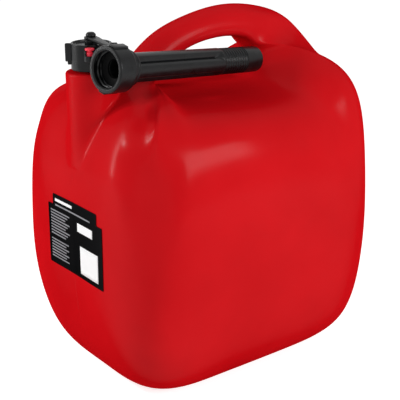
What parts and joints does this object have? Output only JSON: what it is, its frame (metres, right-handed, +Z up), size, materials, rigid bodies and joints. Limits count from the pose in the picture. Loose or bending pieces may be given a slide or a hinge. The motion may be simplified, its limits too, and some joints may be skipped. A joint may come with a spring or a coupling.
{
  "type": "plastic jerrycan",
  "caption": "Blow-moulded plastic fuel can with an arched handle, a screw cap on a turret, and a pouring spout tethered to the cap and stowed beside the handle.",
  "frame": {"origin": "on the ground under the middle of the can", "axes": "+Z up; +X from the cap and label end to the rear; +Y across the can, away from the stowed spout"},
  "size_m": [0.3139, 0.2656, 0.3752],
  "materials": {
    "can_red": "satin",
    "fittings_black": "satin",
    "lock_red": "satin",
    "seal": "matte",
    "label": "satin"
  },
  "bodies": {
    "can": {"can_body": "can_red", "front_label": "label"},
    "swivel": {"swivel_knob": "fittings_black"},
    "cap": {"screw_cap": "fittings_black", "cap_seal": "seal"},
    "lock": {"lock_button": "lock_red"},
    "strap": {"tether_strap": "fittings_black"},
    "spout": {"spout_tube": "fittings_black", "spout_washer": "seal", "spout_nozzle": "fittings_black"},
    "nut": {"spout_nut": "fittings_black"}
  },
  "joints": [
    {"name": "cap_lift", "type": "slide", "parent": "can", "child": "swivel", "axis": [0, 0, 1], "range_m": [0, 0.008]},
    {"name": "cap_turn", "type": "hinge", "parent": "swivel", "child": "cap", "pos_m": [-0.1274, 0, 0.34], "axis": [0, 0, 1], "range_deg": [0, 720]},
    {"name": "lock_slide", "type": "slide", "parent": "cap", "child": "lock", "axis": [0, 0, 1], "range_m": [0, 0.0022]},
    {"name": "strap_swing", "type": "hinge", "parent": "swivel", "child": "strap", "pos_m": [-0.1274, 0, 0.3565], "axis": [0, 0, 1], "range_deg": [-100, 0]},
    {"name": "spout_turn", "type": "hinge", "parent": "strap", "child": "spout", "pos_m": [-0.12809, -0.0568, 0.3367], "axis": [0.9819, 0.1661, -0.0906], "continuous": true},
    {"name": "nut_turn", "type": "hinge", "parent": "spout", "child": "nut", "pos_m": [-0.15058, -0.0606, 0.33877], "axis": [0.9819, 0.1661, -0.0906], "continuous": true}
  ],
  "couplings": [
    {"joint": "cap_turn", "follows": "cap_lift", "rad_per_m": 1570.8}
  ]
}
